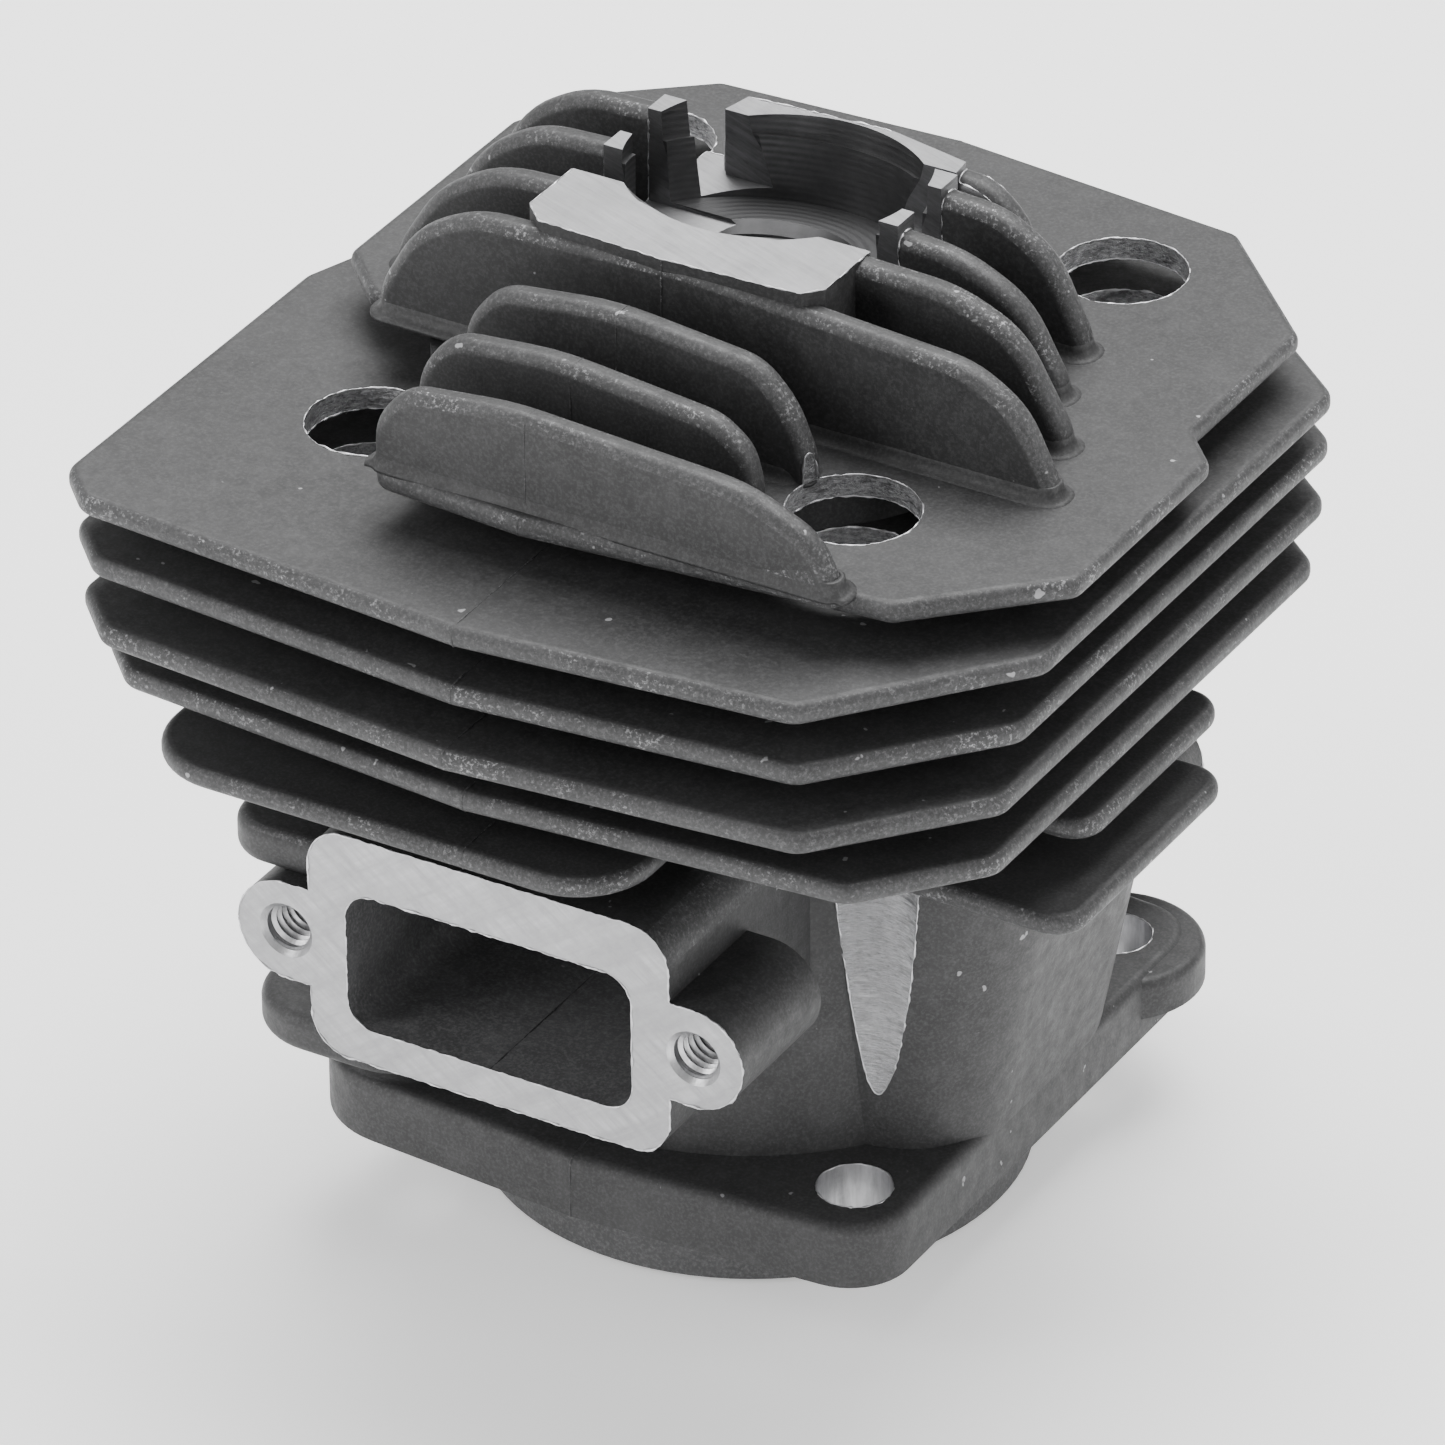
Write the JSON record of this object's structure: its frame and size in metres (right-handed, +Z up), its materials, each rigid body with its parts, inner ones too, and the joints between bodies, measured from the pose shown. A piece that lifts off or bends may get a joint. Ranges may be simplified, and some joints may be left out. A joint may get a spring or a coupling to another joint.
{
  "type": "air-cooled two-stroke cylinder",
  "caption": "Finned air-cooled two-stroke cylinder cast in one with its head: tilted plug well, side exhaust flange, square base flange and spigot, with its piston set inside.",
  "frame": {"origin": "on the bore axis at the foot of the spigot", "axes": "+Z up the bore towards the head, -Y towards the exhaust face, +X to the right when facing the exhaust"},
  "size_m": [0.0846, 0.0873, 0.0914],
  "materials": {
    "coated_casting": "matte black coat over die-cast aluminium, milled faces bare",
    "plating": "honed hard plating",
    "piston_alloy": "fine-turned",
    "ring_steel": "ground",
    "ground_steel": "polished",
    "spring_steel": "drawn wire"
  },
  "bodies": {
    "cylinder": {"cylinder_casting": "coated_casting", "bore_plating": "plating"},
    "piston_set": {"piston": "piston_alloy", "top_ring": "ring_steel", "lower_ring": "ring_steel", "ring_locating_pins": "ring_steel", "circlip_left": "spring_steel", "circlip_right": "spring_steel"},
    "pin": {"gudgeon_pin": "ground_steel"}
  },
  "joints": [
    {"name": "piston_slide", "type": "slide", "parent": "cylinder", "child": "piston_set", "axis": [0, 0, 1], "range_m": [-0.034, 0]},
    {"name": "pin_turn", "type": "hinge", "parent": "piston_set", "child": "pin", "pos_m": [0, 0, 0.046], "axis": [1, 0, 0], "continuous": true}
  ]
}
